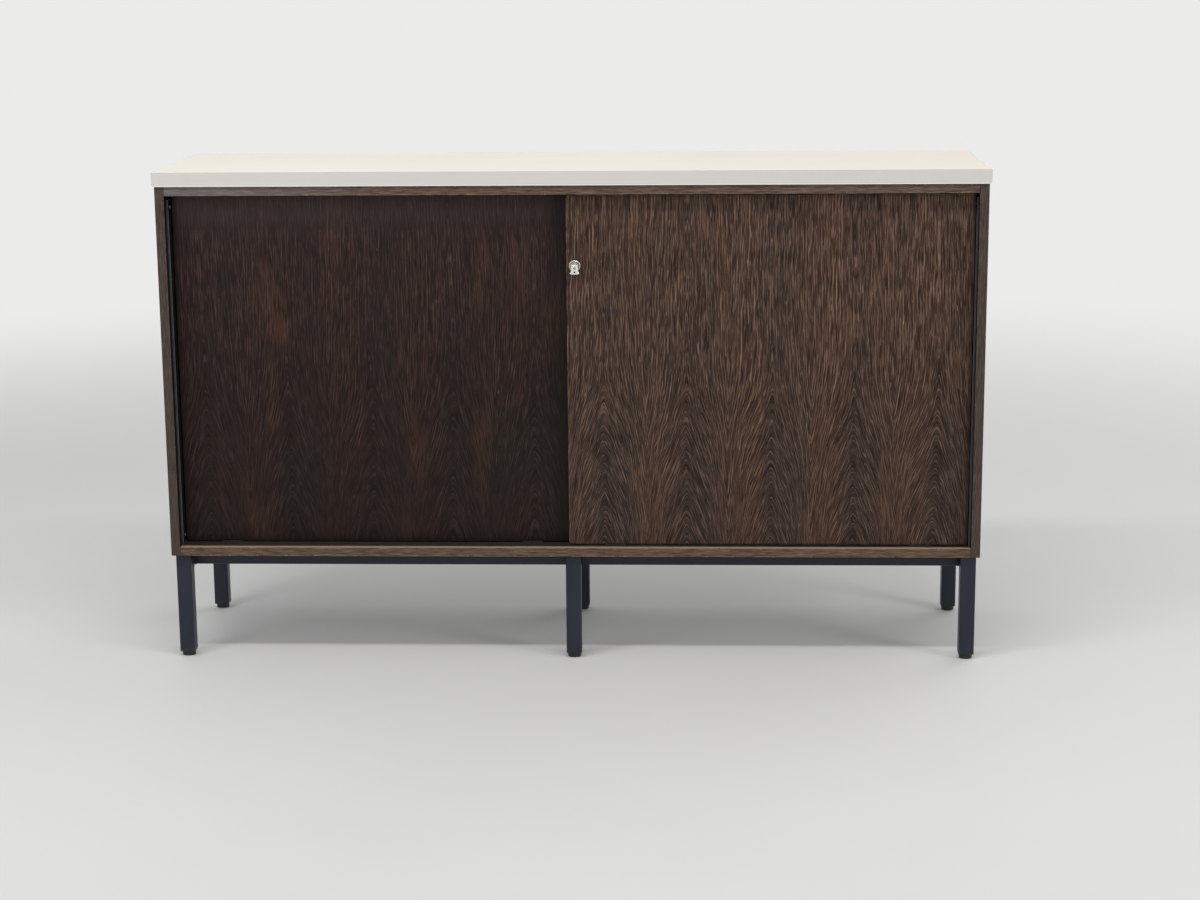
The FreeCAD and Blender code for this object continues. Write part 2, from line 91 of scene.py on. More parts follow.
class Value:
    """An output socket of a shader graph; arithmetic on it adds Math nodes."""

    def __init__(self, graph: "Graph", socket: bpy.types.NodeSocket) -> None:
        """Keep the graph and the socket."""
        self.graph = graph
        self.socket = socket

    def __add__(self, other: Operand) -> "Value":
        """The sum."""
        return self.graph.math("ADD", self, other)

    __radd__ = __add__

    def __sub__(self, other: Operand) -> "Value":
        """The difference."""
        return self.graph.math("SUBTRACT", self, other)

    def __rsub__(self, other: Operand) -> "Value":
        """The difference, with this value taken away."""
        return self.graph.math("SUBTRACT", other, self)

    def __mul__(self, other: Operand) -> "Value":
        """The product."""
        return self.graph.math("MULTIPLY", self, other)

    def __truediv__(self, other: Operand) -> "Value":
        """The quotient."""
        return self.graph.math("DIVIDE", self, other)

    def at_least(self, other: Operand) -> "Value":
        """The larger of the two."""
        return self.graph.math("MAXIMUM", self, other)

    def at_most(self, other: Operand) -> "Value":
        """The smaller of the two."""
        return self.graph.math("MINIMUM", self, other)

    def root(self) -> "Value":
        """The square root."""
        return self.graph.math("SQRT", self)

    def sine(self) -> "Value":
        """The sine."""
        return self.graph.math("SINE", self)

    def whole(self) -> "Value":
        """The whole number at or below this value."""
        return self.graph.math("FLOOR", self)

    def rise(self, low: float, high: float) -> "Value":
        """A smooth step.

        Args:
            low: The value at which the step starts.
            high: The value at which it ends; it may lie below low.

        Returns:
            0 at low and 1 at high.
        """
        if low > high:
            return 1.0 - self.rise(high, low)
        settings = {"interpolation_type": "SMOOTHSTEP"}
        return self.graph.node("ShaderNodeMapRange", settings, {0: self, 1: low, 2: high})

    def output(self, name: str) -> "Value":
        """Another output of the same node."""
        return Value(self.graph, self.socket.node.outputs[name])


class Graph:
    """The node tree of one material or world."""

    def __init__(self, name: str, world: bool = False) -> None:
        """Make an empty node tree.

        Args:
            name: The name of its material or world.
            world: True for a world.
        """
        self.owner = bpy.data.worlds.new(name) if world else bpy.data.materials.new(name)
        self.owner.use_nodes = True
        self.tree = self.owner.node_tree
        self.tree.nodes.clear()
        self.output_kind = "ShaderNodeOutputWorld" if world else "ShaderNodeOutputMaterial"

    def node(self, kind: str, settings: Optional[dict[str, Any]] = None,
             inputs: Optional[dict[Union[str, int], Any]] = None, output: Union[str, int] = 0) -> Value:
        """Add any node.

        Args:
            kind: The node's type.
            settings: Its own settings, set first; stops are those of a colour ramp.
            inputs: Links or plain values for its sockets, by name or number.
            output: The socket to return.

        Returns:
            One of its outputs.
        """
        made = self.tree.nodes.new(kind)
        for name, setting in (settings or {}).items():
            if name == "stops":
                self._set_stops(made.color_ramp, setting)
            else:
                setattr(made, name, setting)
        for name, given in (inputs or {}).items():
            socket = made.inputs[name]
            if isinstance(given, Value):
                self.tree.links.new(given.socket, socket)
            elif socket.type == "RGBA" and len(given) == 3:
                socket.default_value = (*given, 1.0)
            else:
                socket.default_value = given
        return Value(self, made.outputs[output])

    @staticmethod
    def _set_stops(ramp: bpy.types.ColorRamp, stops: list[tuple[float, Colour]]) -> None:
        """Give a colour ramp its stops."""
        while len(ramp.elements) < len(stops):
            ramp.elements.new(1.0)
        for element, (place, colour) in zip(ramp.elements, stops):
            element.position = place
            element.color = (*colour, 1.0)

    def math(self, operation: str, first: Operand, second: Operand = 0.0) -> Value:
        """A Math node on one or two values."""
        return self.node("ShaderNodeMath", {"operation": operation}, {0: first, 1: second})

    def place(self) -> tuple[Value, Value, Value]:
        """Where the surface lies in the frame at rest.

        Returns:
            Its X, Y and Z.
        """
        point = self.node("ShaderNodeTexCoord", output="Object")
        parts = self.node("ShaderNodeSeparateXYZ", inputs={0: point})
        return parts, parts.output("Y"), parts.output("Z")

    def facing(self, axis: str) -> Value:
        """The share of the surface's own normal along X, Y or Z."""
        normal = self.node("ShaderNodeTexCoord", output="Normal")
        return self.node("ShaderNodeSeparateXYZ", inputs={0: normal}, output=axis)

    def noise(self, x: Operand, y: Operand, z: Operand, detail: float = 2.0) -> Value:
        """Soft noise, one unit to a blob.

        Args:
            x: The first coordinate.
            y: The second one.
            z: The third one.
            detail: How much finer noise it holds.

        Returns:
            The noise, about 0.5.
        """
        point = self.node("ShaderNodeCombineXYZ", inputs={0: x, 1: y, 2: z})
        inputs = {"Vector": point, "Scale": 1.0, "Detail": detail, "Roughness": NOISE_ROUGHNESS}
        return self.node("ShaderNodeTexNoise", {"noise_dimensions": "3D"}, inputs)

    def mix(self, share: Operand, first: Union[Value, Colour], second: Union[Value, Colour]) -> Value:
        """Colours mixed, the second by its share; 0, 6 and 7 are the node's sockets for them."""
        return self.node("ShaderNodeMix", {"data_type": "RGBA"}, {0: share, 6: first, 7: second}, output=2)

    def ramp(self, share: Value, stops: list[tuple[float, Colour]]) -> Value:
        """A colour looked up on a ramp."""
        return self.node("ShaderNodeValToRGB", {"stops": stops}, {0: share})

    def bump(self, height: Value, depth: float) -> Value:
        """A normal from a height in units of the given depth."""
        return self.node("ShaderNodeBump", inputs={"Strength": 1.0, "Distance": depth, "Height": height})

    def surface(self, **inputs: Any) -> bpy.types.Material:
        """Close the graph with its shader.

        Args:
            inputs: The shader's sockets, their names with underscores for spaces.

        Returns:
            The finished material.
        """
        named = {name.replace("_", " "): given for name, given in inputs.items()}
        return self.finish(self.node("ShaderNodeBsdfPrincipled", inputs=named))

    def seen(self) -> Value:
        """1 where the camera, a reflection or glass looks, 0 for light that falls on other things."""
        path = self.node("ShaderNodeLightPath", output="Is Camera Ray")
        return path.at_least(path.output("Is Glossy Ray")).at_least(path.output("Is Transmission Ray"))

    def finish(self, shader: Value) -> Union[bpy.types.Material, bpy.types.World]:
        """Link a shader to the output.

        Args:
            shader: The shader.

        Returns:
            The finished material or world.
        """
        made = self.tree.nodes.new(self.output_kind)
        self.tree.links.new(shader.socket, made.inputs["Surface"])
        return self.owner


@dataclass(frozen=True)
class Spot:
    """Any point of a piece's surface, as the piece's graph sees it."""

    graph: Graph
    box: Box
    x: Value
    y: Value
    z: Value

    def noise(self, x: float, y: float, z: float, detail: float = 2.0) -> Value:
        """Noise with that many blobs to a metre along X, Y and Z."""
        return self.graph.noise(self.x * x, self.y * y, self.z * z, detail)

    def even_noise(self, scale: float, detail: float = 2.0) -> Value:
        """Noise with that many blobs to a metre each way."""
        return self.noise(scale, scale, scale, detail)

    def to_edge(self) -> Value:
        """The way to the nearest edge of the box.

        Returns:
            The middle one of the three distances to the box's faces.
        """
        low, high = self.box
        to_faces = []
        for axis, value in enumerate((self.x, self.y, self.z)):
            to_faces.append((value - low[axis]).at_most(high[axis] - value))
        first, second, third = to_faces
        return first.at_most(second).at_least(first.at_least(second).at_most(third))


@dataclass(frozen=True)
class Finish:
    """What every finish has, and the way to its material.

    Its layers are noise, in blobs to a metre, that rises between two values and is laid on by a share.
    Names in capitals hold what is alike on all its pieces.
    """

    roughness: float = 0.45
    gloss: float = 0.5
    metallic: float = 0.0
    relief: float = 0.00005

    def material(self, name: str, box: Box) -> bpy.types.Material:
        """The finish as a material.

        Args:
            name: The material's name.
            box: The lowest and highest corner of the piece that wears it.

        Returns:
            The material.
        """
        graph = Graph(name)
        colour, rough, height = self.layers(Spot(graph, box, *graph.place()))
        return graph.surface(Base_Color=colour, Metallic=self.metallic, Roughness=rough,
                             Normal=graph.bump(height, self.relief), Specular_IOR_Level=self.gloss)

    def layers(self, spot: Spot) -> Look:
        """The colour, roughness and height at a spot; each finish has its own."""
        raise NotImplementedError


@dataclass(frozen=True)
class Figure:
    """How the leaves of a veneer are cut and laid."""

    pitch: float = 0.21
    first_crown: float = 0.10
    crown_share: float = 0.0
    spread: float = 0.0


@dataclass(frozen=True)
class Growth:
    """Where a spot lies in the figure of a veneer.

    line counts across the growth lines, offset is the way from the leaf's middle, shift sets leaves apart,
    and drop is the way below the crowns' start. crown, lower and flank are 1 at the tip of a crown, among
    the crowns and in the grey part of a leaf.
    """

    graph: Graph
    along: Value
    across: Value
    drop: Value
    line: Value
    offset: Value
    shift: Value
    crown: Value
    lower: Value
    flank: Value

    def noise(self, across: float, along: float, turn: float, start: float = 0.0,
              detail: float = 1.5) -> Value:
        """Noise drawn out along the growth lines.

        Args:
            across: Blobs to a metre across the lines.
            along: Blobs to a metre along them.
            turn: How fast it changes across a leaf.
            start: What sets it apart from other noise.
            detail: How much finer noise it holds.

        Returns:
            The noise, about 0.5.
        """
        third = self.shift + self.offset * turn + start
        return self.graph.noise(self.line * across, self.along * along, third, detail)


@dataclass(frozen=True)
class Veneer(Finish):
    """Dark lacquered veneer with straight lines that spread into arched crowns."""

    gloss: float = 0.16
    relief: float = 0.00016
    grain: Grain = Grain.UPRIGHT
    figure: Figure = Figure()
    dark: Colour = (0.012, 0.006, 0.005)
    body: Colour = (0.0395, 0.0216, 0.0155)
    tan: Colour = (0.096, 0.054, 0.0375)
    light: Colour = (0.256, 0.154, 0.106)
    speck: Colour = (0.40, 0.29, 0.22)
    red: Colour = (0.068, 0.0305, 0.018)
    grey: Colour = (0.031, 0.0226, 0.0205)
    amber: Colour = (0.105, 0.052, 0.028)
    stain: Colour = (0.034, 0.022, 0.017)
    stained: float = 0.5
    lipping: Optional[Colour] = None
    lipping_depth: float = 0.003
    worn: Colour = (0.30, 0.215, 0.150)
    # Pale colour of the chips and of the lipping's upward faces, the latter partly a painted highlight.
    chips_and_lit_top: Colour = (0.42, 0.30, 0.20)
    wear: float = 0.5
    line_gap: float = 0.0054
    streak: float = 0.78
    # Colour of a painted sheen: a pale reflection and light laid over the wood.
    painted_sheen: Optional[Colour] = None
    # Strength of the painted shade that darkens the board towards its foot.
    painted_foot_shade: float = 0.0
    # Widths of painted shade along the left, right and bottom edges, where neighbouring parts shade the
    # face.
    painted_shade: tuple[float, float, float] = (0.0, 0.0, 0.0)
    # How far back from the front a side's inner face is painted near black, and in which colour.
    inner_black_depth: float = 0.0
    inner_black: Colour = (0.006, 0.006, 0.006)
    seed: float = 0.0

    # How far the lines stray, and at which drops and offsets the parts of the figure begin and end.
    SWAY = 0.024
    RIPPLE = 0.0050
    QUIVER = 0.0030
    QUIVER_DROP = (-0.10, 0.12)
    BEND_SQUARE = 0.004
    TIP_SQUARE = 0.000005
    TIP_SQUARE_MORE = 0.000013
    TIP_DROP = (-0.10, 0.05)
    FAN_EDGE = (0.040, 0.085)
    CROWN_DROP = (-0.12, -0.02)
    CROWN_SQUARE = (0.0005, 0.00003)
    LOWER_DROP = (-0.04, 0.16)
    # FOOT_DROP: the drops over which the painted shade at the foot comes in.
    FOOT_DROP = (-0.25, 0.30)
    FLANK_FROM = (-0.032, 0.006)
    FLANK_TO = (0.074, 0.044)
    # Where the painted sheen, wear and chips begin and end: distances from the board's ends and edges.
    END_SHEEN = (0.50, 0.0)
    TOP_SHEEN = (0.095, 0.025)
    DEEP_SHEEN = (0.42, 0.08)
    CHIPS = (0.0034, 0.0018)
    ARRIS = (0.0016, 0.0003)
    SAWN_END = (0.0013, 0.0004)
    BLUR = 0.0005

    def layers(self, spot: Spot) -> Look:
        """The board's colour, roughness and height at a spot.

        Args:
            spot: The spot.

        Returns:
            All three.
        """
        graph = spot.graph
        growth = self._growth(spot)
        rings = growth.noise(290.0, 5.0, 6.0, detail=2.0)
        rings = rings + (0.43 - rings) * (growth.crown * 0.80)
        drift = growth.noise(40.0, 2.2, 0.0, 3.0, detail=1.0) * 11.0
        comb = (growth.line * (math.tau / self.line_gap) + drift).sine().rise(0.10, 0.95)
        flecks = comb * growth.noise(230.0, 17.0, 14.0, detail=2.5).rise(0.40, 0.66)
        flecks = flecks * (1.0 - growth.crown * 0.85) * (1.0 - growth.flank * 0.45)
        # The painted shade at the foot also thins the light flecks there.
        flecks = flecks * (1.0 - growth.lower * self.painted_foot_shade)
        pores = growth.noise(640.0, 22.0, 18.0, 9.0).rise(0.51, 0.60)
        colour = self._strokes(self._ground(growth, rings), growth, flecks, pores)
        if self.lipping is not None:
            colour = self._lipped(colour, spot, growth, pores)
        # Painted sheen: a pale reflection laid over the colour.
        if self.painted_sheen is not None:
            colour = graph.mix(self._painted_sheen_share(spot), colour, self.painted_sheen)
        arris = spot.to_edge().rise(*self.ARRIS) * spot.even_noise(55.0, 3.0).rise(0.40, 0.62)
        colour = self._ends_and_painted_shade(graph.mix(arris * self.wear, colour, self.worn), spot)
        rough = self.roughness + (spot.even_noise(3.0) - 0.5) * 0.18 + pores * 0.12 + arris * 0.15
        return colour, rough, flecks * 0.35 + rings * 0.30 - pores * 0.55

    def _growth(self, spot: Spot) -> Growth:
        """Where a spot lies in the board's figure.

        Args:
            spot: The spot.

        Returns:
            Its place among the leaves, lines and crowns.
        """
        graph, figure = spot.graph, self.figure
        low, high = spot.box
        if self.grain is Grain.UPRIGHT:
            along, across = spot.z, spot.x + spot.y - low.x
            start = low.z + (high.z - low.z) * figure.crown_share
        else:
            along, across, start = spot.x, spot.y + spot.z - low.z, low.x
        drop = start - along
        count = (across - figure.first_crown) / figure.pitch + 0.5
        leaf = count.whole()
        sway = graph.noise(across * 7.0, along * 2.4, leaf * 0.8 + self.seed, 1.0) - 0.5
        ripple = graph.noise(across * 60.0, along * 16.0, leaf * 1.9 + self.seed, 1.0) - 0.5
        quiver = graph.noise(across * 110.0, along * 34.0, leaf * 1.3 + self.seed + 4.0, 1.0) - 0.5
        offset = (count - leaf - 0.5) * figure.pitch + sway * self.SWAY + ripple * self.RIPPLE
        offset = offset + quiver * drop.rise(*self.QUIVER_DROP) * self.QUIVER
        tip_square = drop.rise(*self.TIP_DROP) * self.TIP_SQUARE_MORE + self.TIP_SQUARE
        reach = (offset * offset + tip_square).root()
        lift = (drop + (drop * drop + self.BEND_SQUARE).root()) * (0.5 * figure.spread)
        return Growth(graph, along, across, drop, offset=offset, shift=leaf * 0.45 + self.seed,
                      line=reach - lift * (1.0 - reach.rise(*self.FAN_EDGE) * 0.40),
                      crown=drop.rise(*self.CROWN_DROP) * (offset * offset).rise(*self.CROWN_SQUARE),
                      lower=drop.rise(*self.LOWER_DROP),
                      flank=offset.rise(*self.FLANK_FROM) * offset.rise(*self.FLANK_TO))

    def _ground(self, growth: Growth, rings: Value) -> Value:
        """The wood's own colour: its rings, grey and red parts, warm patches and stains.

        Args:
            growth: The spot's place in the figure.
            rings: The noise of the growth rings.

        Returns:
            The colour.
        """
        graph, lower = growth.graph, growth.lower
        across, along = growth.across, growth.along
        bands = graph.noise(growth.offset * 24.0, along * 0.9, growth.shift, 1.0).rise(0.36, 0.66)
        cool = bands * (0.72 - lower * 0.32) + growth.flank * (lower * 0.45 + 0.45)
        tint = graph.mix(cool.at_most(1.0), self.red, self.grey)
        colour = graph.ramp(rings, [(0.26, self.dark), (0.48, self.body), (0.76, self.tan)])
        colour = graph.mix(0.50 + lower * 0.18, colour, tint)
        patches = graph.noise(across * 15.0, along * 3.6, self.seed + 2.0, 1.0).rise(0.58, 0.78)
        colour = graph.mix(patches * 0.60, colour, self.amber)
        stains = graph.noise(across * 5.0, along * 3.0, self.seed + 6.0, 1.0).rise(0.50, 0.72)
        return graph.mix(stains * lower * self.stained, colour, self.stain)

    def _strokes(self, colour: Value, growth: Growth, flecks: Value, pores: Value) -> Value:
        """Lay the fine strokes over the wood's own colour.

        Args:
            colour: The wood's own colour.
            growth: The spot's place in the figure.
            flecks: The share of the light flecks.
            pores: 1 in a pore.

        Returns:
            The colour with flecks, hairs, pores and specks, darkened towards the foot by painted shade.
        """
        graph = growth.graph
        hairs = growth.noise(900.0, 36.0, 24.0).rise(0.53, 0.64)
        specks = growth.noise(420.0, 50.0, 30.0, 17.0, detail=0.0).rise(0.84, 0.90) * (1.0 - growth.crown)
        colour = graph.mix(flecks * self.streak, colour, self.light)
        colour = graph.mix(hairs * (self.streak * 0.62), colour, self.light)
        colour = graph.mix(pores * 0.88, colour, self.dark)
        colour = graph.mix(specks * 0.55, colour, self.speck)
        return graph.mix(growth.drop.rise(*self.FOOT_DROP) * self.painted_foot_shade, colour, self.dark)

    def _lipped(self, colour: Value, spot: Spot, growth: Growth, pores: Value) -> Value:
        """Cover the front edge with its lipping strip.

        Args:
            colour: The board's colour.
            spot: The spot.
            growth: Its place in the figure.
            pores: 1 in a pore.

        Returns:
            The colour with the strip.
        """
        graph = spot.graph
        lines = graph.noise(growth.across * 1500.0, growth.along * 42.0, self.seed).rise(0.36, 0.68)
        chips = spot.even_noise(150.0, 1.0).rise(0.64, 0.70) * spot.to_edge().rise(*self.CHIPS)
        strip = graph.mix(lines * 0.75, self.lipping, self.worn)
        strip = graph.mix(pores * 0.35, strip, self.dark)
        # Upward faces of the lipping are made pale: partly wear, partly a painted highlight of light from
        # above. The chips are wear.
        strip = graph.mix(graph.facing("Z").rise(0.5, 0.9) * 0.85 + chips * 0.40, strip, self.chips_and_lit_top)
        depth = spot.box[0].y + self.lipping_depth
        return graph.mix(spot.y.rise(depth, depth - self.BLUR) * 0.9, colour, strip)

    def _painted_sheen_share(self, spot: Spot) -> Value:
        """The share of a painted sheen, a pale reflection and light: on an upright board along its top,
        stronger to its left; on a long board at its left end.

        Args:
            spot: The spot.

        Returns:
            The veil's share.
        """
        low, high = spot.box
        if self.grain is Grain.LENGTHWISE:
            return (spot.x - low.x).rise(*self.END_SHEEN) * 0.20
        below = high.z - spot.z
        top = below.rise(*self.TOP_SHEEN) * 0.34 + below.rise(*self.DEEP_SHEEN) * 0.04
        return top * (1.3 - (spot.x - low.x) * (0.6 / (high.x - low.x)))

    def _ends_and_painted_shade(self, colour: Value, spot: Spot) -> Value:
        """Darken the sawn ends, paint shade along some edges, and paint the front part of a side's inner
        face near black.

        Args:
            colour: The board's colour.
            spot: The spot.

        Returns:
            The colour with them.
        """
        graph = spot.graph
        low, high = spot.box
        from_left, from_right = spot.x - low.x, high.x - spot.x
        if self.grain is Grain.LENGTHWISE:
            end = from_left.at_most(from_right).rise(*self.SAWN_END)
            colour = graph.mix(end * 0.75, colour, self.dark)
        # Painted shade: soft dark bands along the edges that the other door, the stop strips and the track
        # shade.
        for width, gap in zip(self.painted_shade, (from_left, from_right, spot.z - low.z)):
            if width:
                colour = graph.mix(gap.rise(width, width * 0.35) * 0.62, colour, self.dark)
        # The front part of each side's inner face, beside the doors, is painted near black.
        if self.inner_black_depth:
            depth = low.y + self.inner_black_depth
            inward = graph.facing("X") * math.copysign(1.0, -(low.x + high.x))
            strip = inward.rise(0.6, 0.8) * spot.y.rise(depth, depth - self.BLUR)
            colour = graph.mix(strip, colour, self.inner_black)
        return colour


@dataclass(frozen=True)
class Laminate(Finish):
    """Pale laminate with a cream face and edges in a cooler strip."""

    gloss: float = 0.45
    relief: float = 0.00004
    face: Colour = (0.806, 0.735, 0.652)
    edge: Colour = (0.625, 0.598, 0.570)
    lip: Colour = (0.86, 0.85, 0.83)
    seam: Colour = (0.48, 0.45, 0.41)

    LIP_HEIGHT = (0.0022, 0.0008)
    SEAM_FROM = (0.0012, 0.0015)
    SEAM_TO = (0.0021, 0.0018)

    def layers(self, spot: Spot) -> Look:
        """The slab's colour, roughness and height at a spot.

        Args:
            spot: The spot.

        Returns:
            All three.
        """
        graph = spot.graph
        up = graph.facing("Z").rise(0.45, 0.75)
        cloud = spot.even_noise(2.2)
        speck = spot.even_noise(420.0, 1.0)
        colour = graph.mix(up, self.edge, self.face)
        shaded = graph.mix(0.16, colour, self.seam)
        colour = graph.mix(cloud.rise(0.35, 0.75) * 0.35, colour, shaded)
        colour = graph.mix(speck.rise(0.62, 0.80) * 0.18, colour, self.seam)
        lip = (spot.z - spot.box[0].z).rise(*self.LIP_HEIGHT) * (1.0 - up)
        colour = graph.mix(lip * 0.8, colour, self.lip)
        below = spot.box[1].z - spot.z
        seam = below.rise(*self.SEAM_FROM) * below.rise(*self.SEAM_TO) * (1.0 - up)
        colour = graph.mix(seam * 0.35, colour, self.seam)
        scuffs = spot.noise(9.0, 70.0, 40.0, 3.0).rise(0.58, 0.75)
        rough = self.roughness + (cloud - 0.5) * 0.14 + scuffs * 0.10
        return colour, rough, speck * 0.6 + spot.even_noise(1500.0, 1.0) * 0.4 - seam * 2.0


@dataclass(frozen=True)
class Paint(Finish):
    """Satin paint on steel with a fine orange-peel skin and pale edges: worn through on the frame, a painted
    highlight on the stop strips.
    """

    gloss: float = 0.30
    colour: Colour = (0.014, 0.018, 0.030)
    dusty: Colour = (0.029, 0.033, 0.047)
    bare_and_highlight: Colour = (0.20, 0.20, 0.205)
    wear: float = 0.45
    pale_edge: tuple[float, float] = (0.52, 0.70)

    ARRIS = (0.0014, 0.0003)
    FOOT_HEIGHT = (0.060, 0.016)

    def layers(self, spot: Spot) -> Look:
        """The paint's colour, roughness and height at a spot.

        Args:
            spot: The spot.

        Returns:
            All three.
        """
        graph = spot.graph
        cloud = spot.noise(16.0, 16.0, 7.0, 3.0)
        marks = spot.noise(300.0, 300.0, 14.0).rise(0.70, 0.76)
        colour = graph.mix(cloud.rise(0.40, 0.80) * 0.45, self.colour, self.dusty)
        colour = graph.mix(marks * 0.30, colour, self.dusty)
        # Pale edges: worn-through paint on the frame, an almost unbroken painted highlight on the stop
        # strips.
        arris = spot.to_edge().rise(*self.ARRIS) * spot.noise(130.0, 130.0, 70.0, 3.0).rise(*self.pale_edge)
        colour = graph.mix(arris * self.wear, colour, self.bare_and_highlight)
        foot = spot.z.rise(*self.FOOT_HEIGHT) * cloud.rise(0.45, 0.70)
        colour = graph.mix(foot * 0.35, colour, self.dusty)
        rough = self.roughness + (cloud - 0.5) * 0.22 + marks * 0.10 + foot * 0.15
        return colour, rough, spot.even_noise(700.0, 1.0) * 0.7 - marks * 0.5


@dataclass(frozen=True)
class Plastic(Finish):
    """Moulded or extruded plastic with a fine grained skin."""

    relief: float = 0.00006
    colour: Colour = (0.014, 0.014, 0.015)
    scuffed: Colour = (0.045, 0.044, 0.043)
    skin_along_x: float = 900.0

    SKIN = 900.0
    RUB_REACH = (0.0030, 0.0004)

    def layers(self, spot: Spot) -> Look:
        """The plastic's colour, roughness and height at a spot.

        Args:
            spot: The spot.

        Returns:
            All three.
        """
        cloud = spot.even_noise(40.0, 3.0)
        pale_edge = spot.to_edge().rise(*self.RUB_REACH) * cloud.rise(0.40, 0.65)
        colour = spot.graph.mix(cloud.rise(0.50, 0.80) * 0.4 + pale_edge * 0.5, self.colour, self.scuffed)
        rough = self.roughness + (cloud - 0.5) * 0.25
        return colour, rough, spot.noise(self.skin_along_x, self.SKIN, self.SKIN, 1.0)


@dataclass(frozen=True)
class Metal(Finish):
    """Plated metal with fine brush marks, tarnish and handling scratches, and painted shade in a recessed
    dish.
    """

    metallic: float = 1.0
    relief: float = 0.00001
    colour: Colour = (0.80, 0.775, 0.725)
    tarnish: Colour = (0.42, 0.39, 0.34)
    # Colour of the painted shade in a recessed dish.
    painted_shade: Colour = (0.11, 0.10, 0.085)
    recess: float = 0.0

    def layers(self, spot: Spot) -> Look:
        """The metal's colour, roughness and height at a spot.

        Args:
            spot: The spot.

        Returns:
            All three.
        """
        graph = spot.graph
        cloud = spot.even_noise(160.0, 3.0)
        brush = spot.noise(2600.0, 500.0, 240.0)
        scratch = spot.noise(340.0, 900.0, 1900.0, 1.0).rise(0.68, 0.74)
        share = cloud.rise(0.45, 0.80) * 0.4
        colour = graph.mix(share, self.colour, self.tarnish)
        # Painted shade: the dish behind the raised rim is darkened where shade falls.
        if self.recess:
            deep = (spot.y - spot.box[0].y).rise(self.recess / 2, self.recess)
            share = (share + deep * (0.25 + cloud.rise(0.35, 0.65) * 0.45)).at_most(0.9)
            colour = graph.mix(deep * (0.45 + cloud * 0.35), colour, self.painted_shade)
        rough = self.roughness + (brush - 0.5) * 0.12 + share * 0.35 + scratch * 0.12
        return colour, rough, brush * 0.5 - scratch


@dataclass(frozen=True)
class BareWood(Finish):
    """Turned beech with short brown flecks."""

    relief: float = 0.00008
    body: Colour = (0.56, 0.40, 0.25)
    fleck: Colour = (0.34, 0.21, 0.12)

    def layers(self, spot: Spot) -> Look:
        """The wood's colour, roughness and height at a spot.

        Args:
            spot: The spot.

        Returns:
            All three.
        """
        grain = spot.noise(60.0, 700.0, 60.0)
        flecks = spot.noise(300.0, 1500.0, 300.0, 1.0).rise(0.60, 0.72)
        colour = spot.graph.mix(grain.rise(0.35, 0.75) * 0.4 + flecks * 0.4, self.body, self.fleck)
        return colour, self.roughness + flecks * 0.1, grain


# The front door's darkening at its foot and along its right and bottom edges is painted shade.
FRONT_DOOR = Veneer(figure=Figure(pitch=0.161, first_crown=0.055, crown_share=0.45, spread=0.38),
                    roughness=0.46, painted_foot_shade=0.12, painted_shade=(0.0, 0.008, 0.004))
# The rear door's colours are darker and redder than the front door's: partly its own tone, partly painted
# shade for the lesser light it gets behind the front door.
REAR_DOOR = Veneer(figure=Figure(pitch=0.163, first_crown=0.061, crown_share=0.45, spread=0.31),
                   roughness=0.44, dark=(0.005, 0.003, 0.002), body=(0.0138, 0.0056, 0.0045),
                   tan=(0.032, 0.0134, 0.0107), light=(0.114, 0.063, 0.053), red=(0.0235, 0.0074, 0.0048),
                   grey=(0.0155, 0.0083, 0.0070), amber=(0.066, 0.026, 0.012), stain=(0.009, 0.009, 0.005),
                   speck=(0.160, 0.092, 0.075), painted_sheen=(0.075, 0.050, 0.050), stained=0.85, wear=0.2,
                   streak=0.53, painted_foot_shade=0.26, painted_shade=(0.012, 0.070, 0.010), seed=7.3)
SIDE_BOARD = Veneer(figure=Figure(crown_share=0.35, spread=0.22), lipping=(0.040, 0.028, 0.023),
                    worn=(0.125, 0.094, 0.076), chips_and_lit_top=(0.16, 0.12, 0.095), wear=0.35, inner_black_depth=0.062,
                    seed=3.1)
# The pale sheen at the top board's left end is a painted reflection.
TOP_BOARD = Veneer(grain=Grain.LENGTHWISE, lipping=(0.060, 0.038, 0.028), lipping_depth=0.0195,
                   worn=(0.245, 0.172, 0.132), wear=0.75, painted_sheen=(0.32, 0.33, 0.36), seed=11.7)
BOTTOM_BOARD = Veneer(grain=Grain.LENGTHWISE, lipping=(0.066, 0.038, 0.026), lipping_depth=0.0195,
                      worn=(0.262, 0.174, 0.126), wear=0.75, seed=11.7)
INNER_BOARD = Veneer(grain=Grain.LENGTHWISE, wear=0.4, seed=15.2)
INNER_UPRIGHT = Veneer(figure=Figure(pitch=0.19), wear=0.4, seed=18.4)
BACK_BOARD = Veneer(grain=Grain.LENGTHWISE, figure=Figure(pitch=0.30), roughness=0.62,
                    dark=(0.026, 0.017, 0.013), body=(0.050, 0.034, 0.026), tan=(0.080, 0.055, 0.042),
                    light=(0.120, 0.084, 0.064), wear=0.3, seed=21.9)
SLAB_LAMINATE = Laminate(roughness=0.40)
FRAME_PAINT = Paint(roughness=0.40)
